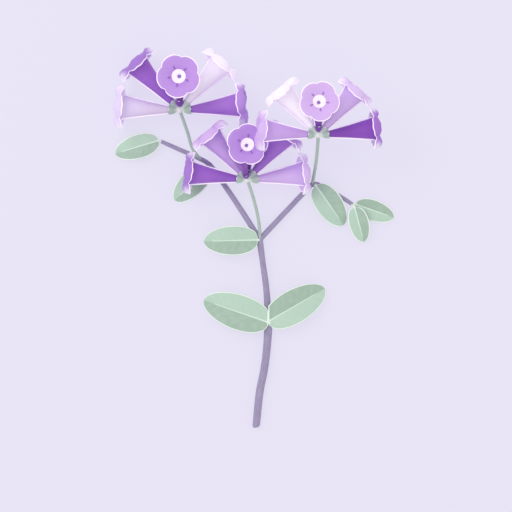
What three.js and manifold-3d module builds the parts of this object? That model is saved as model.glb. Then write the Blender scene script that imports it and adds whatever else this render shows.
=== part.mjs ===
// A cut sprig of garlic vine in flower, lying on a flat surface: a woody stem with a fork, eight
// leaves, and three umbels of trumpet flowers. Millimetres, +Z up. The origin is on the surface,
// under the middle of the bounding box. +Y runs along the sprig from the cut end to the flowers.

import * as THREE from "three";
import { mergeVertices } from "three/addons/utils/BufferGeometryUtils.js";
import Module from "manifold-3d";

const wasm = await Module();
wasm.setup();

// Driving dimensions of one full-size flower. Distances run from the umbel's centre out along
// the flower's axis; each pair is [distance, radius]. Where an entry holds two more numbers, the
// first pair is on a lobe's middle line and the second in the notch between two lobes.
const TUBE_OUTSIDE = [[8, 2.6], [14, 4], [33, 6.7], [60, 11.9]];
const TUBE_INSIDE = [[60.2, 11.05], [36, 2.8]];
const CURLED_OUTSIDE = [
  [69, 14.8, 67, 14.4], [72.6, 19.4, 69.6, 18], [62.8, 23.9, 66.6, 21.5],
];
const CURLED_INSIDE = [
  [63.1, 24.6, 67.2, 22], [73.7, 19.7, 70.65, 18], [69.5, 14.1, 67.5, 13.7],
];
const FLAT_OUTSIDE = [[65.4, 16.4], [67.4, 20.2, 67, 19.6], [67, 23.4, 67.4, 21.7]];
const FLAT_INSIDE = [[67.9, 23.8, 68.3, 22], [68.3, 20, 67.9, 19.4], [66.2, 15.9]];
const BUD_OUTSIDE = [
  [8, 2.4], [13, 3.3], [20, 3.7], [28, 4.5], [35, 5.4], [39.5, 4.6], [42.5, 2.2],
];
const PEDICEL_AND_CALYX = [[0, 1.5], [3.6, 1.6], [7, 3.8], [12.6, 4.9]];
const PISTIL_OUTSIDE = [[36.5, 0.8], [46, 0.6], [47.5, 1.5], [48.6, 1.7], [49.6, 1]];

const LOBES = 5; // petal lobes round the rim
const COLUMNS = 20; // facets round a corolla
const CALYX_SIDES = 8;

const PEDUNCLE_R = 1.8;
const HUB_R = 3.2;
const LEAF_THICKNESS = 0.8;
const RIB_RISE = 0.55; // the midrib stands this far out of both faces of a leaf
const LEAF_BASE_ANGLE = THREE.MathUtils.degToRad(62); // between midrib and margin at the base
const FINEST = 0.04; // detail smaller than this is merged away
const SEAT_GAP = 0.38; // between a leaf or stalk and the stem it grows from
const CUP_GAP = 0.6; // between a corolla or bud and its calyx

// The stem: each point is x, y, z and the radius there.
const STEM_MAIN = [
  [0.1, -12, 3.7, 3.95], [1.6, 2, 3.75, 4.05], [4.2, 25, 4, 4.1], [9.3, 51.3, 4.6, 4.1],
  [12.4, 78, 5, 4.1], [13.4, 100.5, 5.3, 4.4], [12.5, 121.5, 5.6, 3.4], [10.8, 142.6, 6, 3.2],
  [7.6, 165.3, 6.3, 3], [4.1, 192, 6.6, 3.3],
];
const STEM_LEFT = [
  [4.1, 192, 6.6, 2.9], [-9.7, 214, 6.6, 2.85], [-23, 234.5, 6.5, 2.8], [-36.1, 253.8, 6.4, 2.7],
  [-47, 269.5, 6.4, 2.6], [-53.5, 276.2, 6.4, 2.3], [-64, 281.8, 6.4, 2.1],
  [-76, 287.2, 6.4, 2], [-91, 293.8, 6.6, 1.95], [-104, 299.6, 7, 1.8],
];
const STEM_RIGHT = [
  [4.1, 192, 6.6, 2.8], [20, 209, 5.4, 2.75], [37, 227, 4, 2.7], [53.4, 244.2, 3.2, 2.6],
  [62.6, 252.6, 4.1, 2.6], [72, 250.8, 4.9, 2.2], [85, 243.6, 5, 1.95], [97, 236.6, 4.6, 1.9],
  [106, 230.6, 4.6, 1.7],
];
const STEM_NODES = [ // swellings where leaves are set: x, y, z, radius
  [13.4, 100.5, 5.3, 4.9], [3.9, 192, 6.6, 3.9], [-51, 274, 6.4, 3.1], [63, 252.8, 4.2, 3.1],
];

// Leaves, from base to tip. fold lifts both halves from the midrib, lean tips the whole blade.
const LEAVES = [
  { name: "leaf_low_left", base: [12.2, 100.4, 10.6], tip: [-57.3, 124.2, 3.2],
    width: 40, arch: 4.2, fold: 0.2, lean: -0.02, wave: 0.8, seat: [12, 100.3, 5.6] },
  { name: "leaf_low_right", base: [14.8, 100.7, 10.6], tip: [75.4, 136.9, 4],
    width: 39, arch: 4.6, fold: 0.2, lean: 0.02, wave: 0.8, seat: [15, 100.6, 5.6] },
  { name: "leaf_fork", base: [2.4, 191.5, 11.2], tip: [-57.4, 190, 4.2],
    width: 33.2, arch: 3.4, fold: 0.18, lean: 0.03, wave: 0.7, seat: [3.9, 192, 6.6] },
  { name: "leaf_left_joint", base: [-52.2, 271.2, 6.6], tip: [-89.4, 234.9, 2.2],
    width: 28.5, arch: -1.6, fold: 0.08, lean: 0, wave: 0.4, seat: [-51, 274, 6.4] },
  { name: "leaf_left_twig_tip", base: [-106.4, 300.7, 7.6], tip: [-154.7, 286.3, 3.4],
    width: 27.4, arch: 3, fold: 0.2, lean: -0.04, wave: 0.6, seat: [-104, 299.6, 7] },
  { name: "leaf_right_joint", base: [65.6, 251.4, 9.6], tip: [96.2, 207.9, 4],
    width: 30.7, arch: 3.2, fold: 0.2, lean: 0.03, wave: 0.6, seat: [64.2, 251.6, 4] },
  { name: "leaf_right_twig_lower", base: [108, 227.4, 9], tip: [118.4, 189.4, 4.2],
    width: 23, arch: 3.4, fold: 0.2, lean: -0.02, wave: 0.4, seat: [104.8, 230.2, 5.2] },
  { name: "leaf_right_twig_tip", base: [109.2, 230.8, 3.8], tip: [151.5, 216, 1.4],
    width: 24.1, arch: 1.4, fold: 0.1, lean: 0, wave: 0.4, seat: [106, 231, 4.2] },
];

// Umbels. A flower's bearing turns from +X towards +Y. rise is its tilt above the horizontal at
// the umbel's centre, end_rise its tilt past the bend, and roll turns its lobes.
const UMBELS = [
  {
    name: "left_umbel", hub: [-83.2, 332.9, 24], size: 1,
    stalk: [[-57.8, 278.5, 6.2], [-62.5, 282, 8], [-69.4, 291.4, 9], [-74.6, 308, 14.5]],
    flowers: [
      { name: "outer_left", bearing: 176.5, rests: true, length: 0.97 },
      { name: "upper_left", bearing: 133.2, rise: 2, roll: 5, length: 1.02 },
      { name: "face", bearing: 90, rise: 10, end_rise: 90, bend_ends: 58, roll: -9 },
      { name: "upper_right", bearing: 48.3, rests: true },
      { name: "outer_right", bearing: 5.2, rise: 3, roll: -4 },
      { name: "bud", bearing: 99, rise: -21, bud: true },
    ],
  },
  {
    name: "middle_umbel", hub: [-9.4, 256.8, 29], size: 0.95,
    stalk: [[4.1, 193.5, 8.6], [4, 202, 10.5], [2.6, 214, 14.5], [-2.6, 236, 23.5]],
    flowers: [
      { name: "outer_left", bearing: 173.2, rise: 1, roll: 3 },
      { name: "upper_left", bearing: 129.9, rise: 3, roll: -5 },
      { name: "face", bearing: 90, rise: -25, end_rise: 90, bend_ends: 53, length: 0.925,
        roll: 29, side_slope: 0.2 },
      { name: "upper_right", bearing: 49.6, rise: -1, roll: 5 },
      { name: "outer_right", bearing: 6.6, rests: true, length: 0.97 },
      { name: "bud", bearing: 106, rise: 40, bud: true, length: 0.72 },
    ],
  },
  {
    name: "right_umbel", hub: [67, 303.5, 75], size: 0.91,
    stalk: [[62, 254.6, 6.4], [62.8, 259, 15], [64.8, 272, 36], [66, 286, 56]],
    flowers: [
      { name: "outer_left", bearing: 175, rise: 5.5 },
      { name: "upper_left", bearing: 129.6, rise: 3, roll: -6 },
      { name: "face", bearing: 90, rise: 10, end_rise: 90, bend_ends: 58, roll: 9 },
      { name: "upper_right", bearing: 50, rise: 3, roll: 5 },
      { name: "outer_right", bearing: 7, rise: -3, roll: -4 },
      { name: "bud", bearing: 99, rise: -21, bud: true },
    ],
  },
];

const colours = {
  bark: new THREE.Color("#9d94b6"), leaf: new THREE.Color("#a9c4b1"), stalk: new THREE.Color("#a3bba8"),
  petal: new THREE.Color("#b487db"), bud: new THREE.Color("#7c3fa8"), pistil: new THREE.Color("#8f78ab"),
};
const finish = (color, roughness) => new THREE.MeshStandardMaterial({ color, roughness, metalness: 0 });
const materials = {
  bark: finish(colours.bark, 0.8), leaf: finish(colours.leaf, 0.55), stalk: finish(colours.stalk, 0.6),
  petal: finish(colours.petal, 0.6), bud: finish(colours.bud, 0.55), pistil: finish(colours.pistil, 0.6),
};

const radians = THREE.MathUtils.degToRad;
const point = (xyz) => new THREE.Vector3(xyz[0], xyz[1], xyz[2]);

// A closed body through a row of rings with the same number of points each. Past the ring
// numbered turn, the squares are split the other way, so that a thin wall's two faces match.
function bodyThroughRings(rings, turn = Infinity) {
  const sides = rings[0].length;
  const corners = rings.flat();
  const faces = [];
  for (let i = 0; i + 1 < rings.length; i++) {
    for (let j = 0; j < sides; j++) {
      const next = (j + 1) % sides;
      const a = i * sides + j;
      const b = i * sides + next;
      const c = a + sides;
      const d = b + sides;
      if (i < turn) faces.push(a, b, d, a, d, c);
      else faces.push(a, b, c, b, d, c);
    }
  }
  const middle = (ring) => ring.reduce((sum, p) => sum.add(p), new THREE.Vector3()).divideScalar(sides);
  const first = corners.push(middle(rings[0])) - 1;
  const last = corners.push(middle(rings[rings.length - 1])) - 1;
  const lastRing = (rings.length - 1) * sides;
  for (let j = 0; j < sides; j++) {
    const next = (j + 1) % sides;
    faces.push(first, next, j, last, lastRing + j, lastRing + next);
  }
  return bodyOf(corners, faces);
}

function bodyOf(corners, faces) {
  const made = new THREE.BufferGeometry().setFromPoints(corners);
  made.setIndex(faces);
  return made;
}

function solidOf(geometry) {
  const bare = geometry.clone();
  bare.deleteAttribute("normal");
  bare.deleteAttribute("uv");
  const merged = mergeVertices(bare, 1e-4);
  return new wasm.Manifold(new wasm.Mesh({
    numProp: 3,
    vertProperties: new Float32Array(merged.attributes.position.array),
    triVerts: new Uint32Array(merged.index.array),
  }));
}

function geometryOf(solid) {
  const mesh = solid.getMesh();
  const made = new THREE.BufferGeometry();
  made.setAttribute("position", new THREE.BufferAttribute(mesh.vertProperties, 3));
  made.setIndex(new THREE.BufferAttribute(mesh.triVerts, 1));
  return made;
}

// The largest of the bodies that a cut leaves, so that no loose scrap stays. Edges too short to
// show are merged.
const whole = (solid) => solid.decompose().sort((a, b) => b.volume() - a.volume())[0].simplify(FINEST);
const joined = (geometries) => geometries.map(solidOf).reduce((sum, s) => sum.add(s));

// A rod with rounded ends along points that each hold x, y, z and a radius, or share one radius.
function rod(points, radius, sides, stepsPerSpan, swell = 0) {
  const route = new THREE.CatmullRomCurve3(points.map(point), false, "centripetal");
  const steps = (points.length - 1) * stepsPerSpan;
  const frames = route.computeFrenetFrames(steps, false);
  const radiusAt = (t) => {
    if (radius !== null) return radius;
    const place = Math.min(t * (points.length - 1), points.length - 1.0001);
    const k = Math.floor(place);
    return THREE.MathUtils.lerp(points[k][3], points[k + 1][3], place - k);
  };
  const ring = (centre, k, r) => Array.from({ length: sides }, (_, j) => {
    const turn = (2 * Math.PI * j) / sides;
    return centre.clone()
      .addScaledVector(frames.normals[k], r * Math.cos(turn))
      .addScaledVector(frames.binormals[k], r * Math.sin(turn));
  });
  const rings = [];
  for (let k = 0; k <= steps; k++) rings.push(ring(route.getPoint(k / steps), k, radiusAt(k / steps) + swell));
  const round = 0.35; // share of the radius that an end's edge is rounded by
  const r0 = radiusAt(0) + swell;
  const r1 = radiusAt(1) + swell;
  const endRing = (t, k, way, r) => {
    const reach = round * (r - swell) + swell;
    const centre = route.getPoint(t).addScaledVector(frames.tangents[k], way * reach);
    return ring(centre, k, r - round * (r - swell));
  };
  rings.unshift(endRing(0, 0, -1, r0));
  rings.push(endRing(1, steps, 1, r1));
  return bodyThroughRings(rings);
}

function ball(centre, radius, sides) {
  const made = new THREE.SphereGeometry(radius, sides, Math.round(sides / 2));
  return made.translate(centre[0], centre[1], centre[2]);
}

// The stem, forked once, with a swelling at each node. swell makes a thicker copy of it, which
// cuts the seats of the leaves and stalks. The underside is trimmed flat where it lies.
function stemSolid(swell = 0) {
  const pieces = [
    rod(STEM_MAIN, null, 12, 1, swell),
    rod(STEM_LEFT, null, 10, 1, swell),
    rod(STEM_RIGHT, null, 10, 1, swell),
    ...STEM_NODES.map(([x, y, z, r]) => ball([x, y, z], r + swell, 8)),
  ];
  const floor = new THREE.BoxGeometry(600, 600, 20).translate(0, 100, -10);
  const made = joined(pieces);
  return swell ? made : whole(made.subtract(solidOf(floor)));
}

// The frame of a flower at a distance from its umbel's centre: the point on its axis, the level
// side direction and the upward one.
function axisOf(umbel, flower) {
  const bearing = radians(flower.bearing);
  const start = radians(flower.rise ?? 0);
  const end = radians(flower.end_rise ?? flower.rise ?? 0);
  const stretch = umbel.size * (flower.length ?? 1);
  const bendEnds = (flower.bend_ends ?? 60) * (flower.bend_ends ? 1 : umbel.size);
  const out = new THREE.Vector3(Math.cos(bearing), Math.sin(bearing), 0);
  const side = new THREE.Vector3(-out.y, out.x, 0);
  const rateAt = (end - start) / bendEnds;
  const tilt = (s) => start + rateAt * Math.min(s, bendEnds);
  return (distance) => {
    const s = distance * stretch;
    const bent = Math.min(s, bendEnds);
    const along = Math.abs(rateAt) < 1e-9 ? bent * Math.cos(start) : (Math.sin(tilt(bent)) - Math.sin(start)) / rateAt;
    const up = Math.abs(rateAt) < 1e-9 ? bent * Math.sin(start) : (Math.cos(start) - Math.cos(tilt(bent))) / rateAt;
    const angle = tilt(s);
    const centre = point(umbel.hub)
      .addScaledVector(out, along + (s - bent) * Math.cos(end));
    centre.z += up + (s - bent) * Math.sin(end);
    const normal = new THREE.Vector3(-Math.sin(angle) * out.x, -Math.sin(angle) * out.y, Math.cos(angle));
    return { centre, side, normal };
  };
}

// Rings of a piece of a flower, round or lobed.
function flowerRings(umbel, flower, profile, sides) {
  const frameAt = axisOf(umbel, flower);
  const slopeEnds = frameAt(59).centre;
  return profile.map(([distance, radius, notchDistance = distance, notchRadius = radius]) => {
    return Array.from({ length: sides }, (_, j) => {
      const round = (2 * Math.PI * j) / sides;
      const turn = round - Math.PI / 2 + radians(flower.roll ?? 0);
      const lobe = Math.abs(Math.sin((LOBES / 2) * round)) ** 0.6;
      const r = THREE.MathUtils.lerp(notchRadius, radius, lobe) * umbel.size;
      const { centre, side, normal } = frameAt(THREE.MathUtils.lerp(notchDistance, distance, lobe));
      const p = centre.clone()
        .addScaledVector(side, r * Math.cos(turn))
        .addScaledVector(normal, r * Math.sin(turn));
      if (flower.side_slope) {
        const share = THREE.MathUtils.smoothstep(distance, 36, 60);
        p.z -= flower.side_slope * share * (p.x - slopeEnds.x);
      }
      return p;
    });
  });
}

function corolla(umbel, flower) {
  const flat = flower.end_rise !== undefined;
  const outer = [...TUBE_OUTSIDE, ...(flat ? FLAT_OUTSIDE : CURLED_OUTSIDE)];
  const inner = [...(flat ? FLAT_INSIDE : CURLED_INSIDE), ...TUBE_INSIDE];
  const outside = flowerRings(umbel, flower, outer, COLUMNS);
  const inside = flowerRings(umbel, flower, inner, COLUMNS);
  return bodyThroughRings([...outside, ...inside], outside.length - 1);
}

// A flower that rests has the rise that lets its lowest lobe just meet the surface.
function settled(umbel, flower) {
  if (!flower.rests) return flower;
  let low = -25;
  let high = 25;
  for (let i = 0; i < 40; i++) {
    const rise = (low + high) / 2;
    const body = corolla(umbel, { ...flower, rise });
    body.computeBoundingBox();
    if (body.boundingBox.min.z < 0) low = rise;
    else high = rise;
  }
  return { ...flower, rise: high };
}

// The green stalk of an umbel, with a cup for each flower. The cups are hollowed by the flowers'
// own feet, a little thickened.
function stalkSolid(umbel, flowers, thickStem) {
  const peduncle = rod([...umbel.stalk, umbel.hub], PEDUNCLE_R, 8, 2);
  const cups = flowers.map((flower) => {
    const profile = PEDICEL_AND_CALYX.map(([s, r]) => [s, flower.bud ? 0.85 * r : r]);
    return bodyThroughRings(flowerRings(umbel, flower, profile, CALYX_SIDES));
  });
  const feet = flowers.map((flower) => {
    const profile = flower.bud ? BUD_OUTSIDE : TUBE_OUTSIDE;
    const [first, second, third] = profile.map(([s, r]) => [s, r + CUP_GAP / umbel.size]);
    const foot = [[first[0] - CUP_GAP / umbel.size, first[1]], second, third];
    return bodyThroughRings(flowerRings(umbel, flower, foot, CALYX_SIDES));
  });
  const made = joined([peduncle, ball(umbel.hub, HUB_R * umbel.size, 8), ...cups]);
  return whole(made.subtract(joined(feet)).subtract(thickStem));
}

// Half the width of a leaf at a share of its length: an ellipse, widest a little below half way,
// with margins that leave the base at a set angle.
function halfWidth(leaf, length, t) {
  const u = Math.pow(t, 0.87);
  const oval = (leaf.width / 2) * Math.sqrt(Math.max(0, 4 * u * (1 - u)));
  return Math.min(oval, t * length * Math.tan(LEAF_BASE_ANGLE));
}

function leafSolid(leaf, thickStem) {
  const rows = [0.05, 0.15, 0.31, 0.48, 0.65, 0.81, 0.93];
  const across = [-1, -0.58, -0.07, 0.07, 0.58, 1];
  const base = point(leaf.base);
  const tip = point(leaf.tip);
  const run = tip.clone().sub(base);
  const length = Math.hypot(run.x, run.y);
  const side = new THREE.Vector3(-run.y, run.x, 0).normalize();
  const at = (t, q, face) => {
    const half = halfWidth(leaf, length, t);
    const rib = Math.abs(q) < 0.1 ? RIB_RISE * (1 - 0.7 * t) : 0;
    const lift = half * (leaf.fold * Math.abs(q) * (1 - 0.35 * Math.abs(q)) + leaf.lean * q);
    const ripple = leaf.wave * q * q * Math.sin(Math.PI * (3 * t + (q > 0 ? 0.4 : 1.1)));
    const p = base.clone().addScaledVector(run, t).addScaledVector(side, half * q);
    p.z += leaf.arch * Math.sin(Math.PI * t) + lift + ripple + face * (LEAF_THICKNESS / 2 + rib);
    return p;
  };
  const corners = [];
  const faces = [];
  const sheet = (face) => rows.map((t) => across.map((q) => corners.push(at(t, q, face)) - 1));
  const upper = sheet(1);
  const lower = sheet(-1);
  const ends = [0, 1].map((t) => [corners.push(at(t, 0.5, 1)) - 1, corners.push(at(t, 0.5, -1)) - 1]);
  const last = rows.length - 1;
  const edge = across.length - 1;
  for (let i = 0; i < last; i++) {
    for (let j = 0; j < edge; j++) {
      const [a, b, c, d] = [upper[i][j], upper[i][j + 1], upper[i + 1][j], upper[i + 1][j + 1]];
      const [e, f, g, h] = [lower[i][j], lower[i][j + 1], lower[i + 1][j], lower[i + 1][j + 1]];
      faces.push(a, c, d, a, d, b, e, h, g, e, f, h);
    }
  }
  const wall = (a, b, e, f) => faces.push(a, b, f, a, f, e);
  for (let j = 0; j < edge; j++) {
    faces.push(ends[0][0], upper[0][j], upper[0][j + 1], ends[0][1], lower[0][j + 1], lower[0][j]);
    faces.push(ends[1][0], upper[last][j + 1], upper[last][j], ends[1][1], lower[last][j], lower[last][j + 1]);
  }
  for (let i = 0; i < last; i++) {
    wall(upper[i + 1][0], upper[i][0], lower[i + 1][0], lower[i][0]);
    wall(upper[i][edge], upper[i + 1][edge], lower[i][edge], lower[i + 1][edge]);
  }
  wall(upper[0][0], ends[0][0], lower[0][0], ends[0][1]);
  wall(ends[0][0], upper[0][edge], ends[0][1], lower[0][edge]);
  wall(ends[1][0], upper[last][0], ends[1][1], lower[last][0]);
  wall(upper[last][edge], ends[1][0], lower[last][edge], ends[1][1]);
  const blade = bodyOf(corners, faces);
  const inBlade = at(0.14, 0, 0);
  const foot = [leaf.seat, leaf.base, [inBlade.x, inBlade.y, inBlade.z]];
  return whole(joined([blade, rod(foot, 1.15, 6, 1)]).subtract(thickStem));
}

const sprig = new THREE.Group();
function add(name, geometry, material) {
  const mesh = new THREE.Mesh(geometry, material);
  mesh.name = name;
  sprig.add(mesh);
}

const thickStem = stemSolid(SEAT_GAP);
add("vine_stem", geometryOf(stemSolid()), materials.bark);
for (const leaf of LEAVES) add(leaf.name, geometryOf(leafSolid(leaf, thickStem)), materials.leaf);
for (const umbel of UMBELS) {
  const flowers = umbel.flowers.map((flower) => settled(umbel, flower));
  add(umbel.name + "_stalk", geometryOf(stalkSolid(umbel, flowers, thickStem)), materials.stalk);
  for (const flower of flowers) {
    if (flower.bud) {
      const bud = bodyThroughRings(flowerRings(umbel, flower, BUD_OUTSIDE, CALYX_SIDES));
      add(umbel.name + "_bud", bud, materials.bud);
      continue;
    }
    add(umbel.name + "_corolla_" + flower.name, corolla(umbel, flower), materials.petal);
    const pistil = bodyThroughRings(flowerRings(umbel, flower, PISTIL_OUTSIDE, 6));
    add(umbel.name + "_pistil_" + flower.name, pistil, materials.pistil);
  }
}

// Set the whole down with the origin on the surface, under the middle of its bounding box.
const box = new THREE.Box3().setFromObject(sprig);
const middle = box.getCenter(new THREE.Vector3());
for (const mesh of sprig.children) mesh.geometry.translate(-middle.x, -middle.y, -box.min.z);

export default sprig;
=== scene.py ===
# %% [markdown]
# # A cut sprig of garlic vine in flower
# Garlic vine is a woody climber that hangs out bunches of trumpet flowers. They open deep
# violet and fade almost to white, so one sprig carries every tone between. This lesson dresses
# such a sprig, lying on a pale table: a forked stem, eight leaves and three umbels.
# The plain solids of the sprig are loaded first. They are the frame that each piece is fitted
# to.

import math

import bmesh
import bpy
import numpy as np
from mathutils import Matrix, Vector


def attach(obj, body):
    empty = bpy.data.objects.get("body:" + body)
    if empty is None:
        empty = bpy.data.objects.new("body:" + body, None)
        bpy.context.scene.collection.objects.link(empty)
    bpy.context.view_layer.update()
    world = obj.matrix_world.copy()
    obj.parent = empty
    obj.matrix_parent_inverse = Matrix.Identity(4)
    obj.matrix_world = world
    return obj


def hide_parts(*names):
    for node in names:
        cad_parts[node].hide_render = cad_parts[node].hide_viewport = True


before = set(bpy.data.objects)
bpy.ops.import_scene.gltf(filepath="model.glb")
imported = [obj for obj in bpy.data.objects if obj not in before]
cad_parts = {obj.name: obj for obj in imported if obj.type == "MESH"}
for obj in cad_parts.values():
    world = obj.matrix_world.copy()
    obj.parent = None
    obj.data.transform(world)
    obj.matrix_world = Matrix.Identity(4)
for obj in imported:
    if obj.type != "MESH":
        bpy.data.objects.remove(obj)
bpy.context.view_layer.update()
MM = 0.001  # the numbers below are in millimetres, and Blender's are in metres

# %% [markdown]
# ## The view
# The sprig is seen from straight above, as a botanist lays out a specimen to be drawn. A long
# lens keeps the tall flowers from swelling towards the camera. The width of table in view and
# the lens give the camera's height, so those two are the values to choose.

# %% Camera
VIEW_WIDTH = 563.2  # of the table top, across the picture
LENS = 200
SENSOR = 36
AIM = (2.15, -19.63)

camera_height = VIEW_WIDTH * LENS / SENSOR
bpy.ops.object.select_all(action="DESELECT")
bpy.ops.object.camera_add(location=(AIM[0] * MM, AIM[1] * MM, camera_height * MM), rotation=(0, 0, 0))
camera = bpy.context.object
camera.data.lens = LENS
camera.data.sensor_width = SENSOR
camera.data.clip_end = 20
bpy.context.scene.camera = camera
print("camera height in mm:", round(camera_height))

# %% [markdown]
# ## Hand tools
# A few short helpers do what the hand does again and again: pick one piece, open all of it in
# edit mode, turn its faces outwards, add a modifier and apply it, read a mesh's points and put
# them back, and store a number on every point for the shaders. Numpy moves thousands of points
# at once.

# %% Helpers for meshes
def alone(piece):
    bpy.ops.object.select_all(action="DESELECT")
    piece.select_set(True)
    bpy.context.view_layer.objects.active = piece


def edit_all(piece):
    alone(piece)
    bpy.ops.object.mode_set(mode="EDIT")
    bpy.ops.mesh.select_all(action="SELECT")


def face_outwards():
    bpy.ops.mesh.select_all(action="SELECT")
    bpy.ops.mesh.normals_make_consistent(inside=False)
    bpy.ops.object.mode_set(mode="OBJECT")


def apply_modifier(piece, kind, **settings):
    alone(piece)
    modifier = piece.modifiers.new(kind.title(), kind)
    for name, value in settings.items():
        setattr(modifier, name, value)
    bpy.ops.object.modifier_apply(modifier=modifier.name)

# %% Helpers: points, and the notes on them
def points_of(piece):
    found = np.empty(len(piece.data.vertices) * 3)
    piece.data.vertices.foreach_get("co", found)
    return found.reshape(-1, 3) / MM


def move_points(piece, points):
    piece.data.vertices.foreach_set("co", (np.asarray(points) * MM).ravel())
    piece.data.update()


def note_on_points(piece, name, values):
    kept = piece.data.attributes.new(name, "FLOAT", "POINT")
    kept.data.foreach_set("value", np.asarray(values, dtype=np.float32))


def read_note(piece, name):
    found = np.empty(len(piece.data.vertices))
    piece.data.attributes[name].data.foreach_get("value", found)
    return found


def tint_points(piece, name, colour, shares):
    kept = piece.data.attributes.new(name, "FLOAT_COLOR", "POINT")
    rows = [(*colour[:3], share) for share in shares]
    kept.data.foreach_set("color", np.array(rows, dtype=np.float32).ravel())

# %% Helpers: join, ball and smoothstep
def join(pieces, name):
    alone(pieces[0])
    for piece in pieces:
        piece.select_set(True)
    bpy.ops.object.join()
    made = bpy.context.object
    made.name = made.data.name = name
    return made


def ball(place, radius):
    bpy.ops.object.select_all(action="DESELECT")
    centre = [c * MM for c in place]
    bpy.ops.mesh.primitive_ico_sphere_add(subdivisions=4, radius=radius * MM, location=centre)
    bpy.ops.object.transform_apply(location=True, rotation=False, scale=False)
    bpy.ops.object.shade_smooth()
    return bpy.context.object


def smoothstep(value, start, end):
    share = np.clip((value - start) / (end - start), 0, 1)
    return share * share * (3 - 2 * share)

# %% [markdown]
# A round body can be drawn ring by ring: a circle is added at the first ring, its edge is
# extruded along the axis, and each new ring is scaled to its radius. That is quicker to shape
# than a spun outline here, because the rings stay at hand for the lobes of a flower later.

# %% Helper: extrude a circle from ring to ring
def ring_body(name, rings, sides):
    bpy.ops.object.select_all(action="DESELECT")
    height, radius = rings[0][:2]
    bpy.ops.mesh.primitive_circle_add(vertices=sides, radius=radius * MM, calc_uvs=False)
    piece = bpy.context.object
    piece.name = piece.data.name = name
    edit_all(piece)
    bpy.ops.transform.translate(value=(0, 0, height * MM))
    for before, after in zip(rings, rings[1:]):
        climb = (0, 0, (after[0] - before[0]) * MM)
        bpy.ops.mesh.extrude_edges_move(TRANSFORM_OT_translate={"value": climb})
        growth = after[1] / before[1]
        bpy.ops.transform.resize(value=(growth, growth, 1), center_override=(0, 0, after[0] * MM))
    bpy.ops.mesh.extrude_edges_move(TRANSFORM_OT_translate={"value": (0, 0, 0)})
    bpy.ops.mesh.merge(type="CENTER")
    mesh = bmesh.from_edit_mesh(piece.data)
    for edge in mesh.edges:
        edge.select_set(edge.is_boundary)
    bpy.ops.mesh.edge_face_add()
    face_outwards()
    bpy.ops.object.shade_smooth()
    return piece

# %% [markdown]
# Stems, stalks and stamens are rods that follow a bent line and grow thinner. A Bezier curve
# with a round bevel is made for that: each point holds its own radius. It is then turned into
# a mesh, so that it can be fused or joined with its neighbours, and its end caps are welded on.

# %% Helper: a rod along a curve
def rod(name, route, sides=16, steps=6):
    line = bpy.data.curves.new(name, "CURVE")
    line.dimensions = "3D"
    line.bevel_depth = MM
    line.bevel_resolution = sides // 4
    line.resolution_u = steps
    line.use_fill_caps = True
    spline = line.splines.new("BEZIER")
    spline.bezier_points.add(len(route) - 1)
    for knot, (x, y, z, radius) in zip(spline.bezier_points, route):
        knot.co = (x * MM, y * MM, z * MM)
        knot.radius = radius
        knot.handle_left_type = knot.handle_right_type = "AUTO"
    piece = bpy.data.objects.new(name, line)
    bpy.context.scene.collection.objects.link(piece)
    alone(piece)
    bpy.ops.object.convert(target="MESH")
    edit_all(bpy.context.object)
    bpy.ops.mesh.remove_doubles(threshold=0.01 * MM)
    face_outwards()
    bpy.ops.object.shade_smooth()
    return bpy.context.object

# %% [markdown]
# ## Colours and shader helpers
# Colours are written as on a paint chart, and turned into the linear light that shaders add
# and multiply. The other helpers each place a node or two and return the output, so that a
# material reads like a short sum.

# %% Helpers for shaders
def tone(code):
    parts = [int(code[i : i + 2], 16) / 255 for i in (1, 3, 5)]
    linear = [c / 12.92 if c <= 0.04045 else ((c + 0.055) / 1.055) ** 2.4 for c in parts]
    return (*linear, 1.0)


def feed(tree, socket, value):
    if isinstance(value, bpy.types.NodeSocket):
        tree.links.new(value, socket)
    else:
        socket.default_value = value


def sums(tree, operation, *values):
    made = tree.nodes.new("ShaderNodeMath")
    made.operation = operation
    for socket, value in zip(made.inputs, values):
        feed(tree, socket, value)
    return made.outputs[0]


def times(tree, first, second):
    return sums(tree, "MULTIPLY", first, second)


def gap_between(tree, value, centre):
    return sums(tree, "ABSOLUTE", sums(tree, "SUBTRACT", value, centre))

# %% Helpers: masks that rise and fall
def rise_between(tree, value, start, end):
    made = tree.nodes.new("ShaderNodeMapRange")
    made.interpolation_type = "SMOOTHSTEP"
    feed(tree, made.inputs["Value"], value)
    feed(tree, made.inputs["From Min"], start)
    feed(tree, made.inputs["From Max"], end)
    return made.outputs["Result"]


def fall_between(tree, value, start, end):
    return sums(tree, "SUBTRACT", 1.0, rise_between(tree, value, start, end))


def blend(tree, share, first, second, way="MIX"):
    made = tree.nodes.new("ShaderNodeMix")
    made.data_type = "RGBA"
    made.blend_type = way
    feed(tree, made.inputs[0], share)
    feed(tree, made.inputs[6], first)
    feed(tree, made.inputs[7], second)
    return made.outputs[2]

# %% Helpers: noise, and notes read back
def noise(tree, place, scale, detail=2.0, roughness=0.5):
    made = tree.nodes.new("ShaderNodeTexNoise")
    feed(tree, made.inputs["Vector"], place)
    feed(tree, made.inputs["Scale"], scale)
    made.inputs["Detail"].default_value = detail
    made.inputs["Roughness"].default_value = roughness
    return made.outputs["Fac"]


def noted(tree, name, output="Fac"):
    made = tree.nodes.new("ShaderNodeAttribute")
    made.attribute_name = name
    return made.outputs[output]

# %% Helpers for groups and materials
def new_group(name, inputs, outputs):
    tree = bpy.data.node_groups.new(name, "ShaderNodeTree")
    for title, kind in inputs:
        tree.interface.new_socket(name=title, in_out="INPUT", socket_type="NodeSocket" + kind)
    for title, kind in outputs:
        tree.interface.new_socket(name=title, in_out="OUTPUT", socket_type="NodeSocket" + kind)
    return tree, tree.nodes.new("NodeGroupInput").outputs, tree.nodes.new("NodeGroupOutput").inputs


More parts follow.
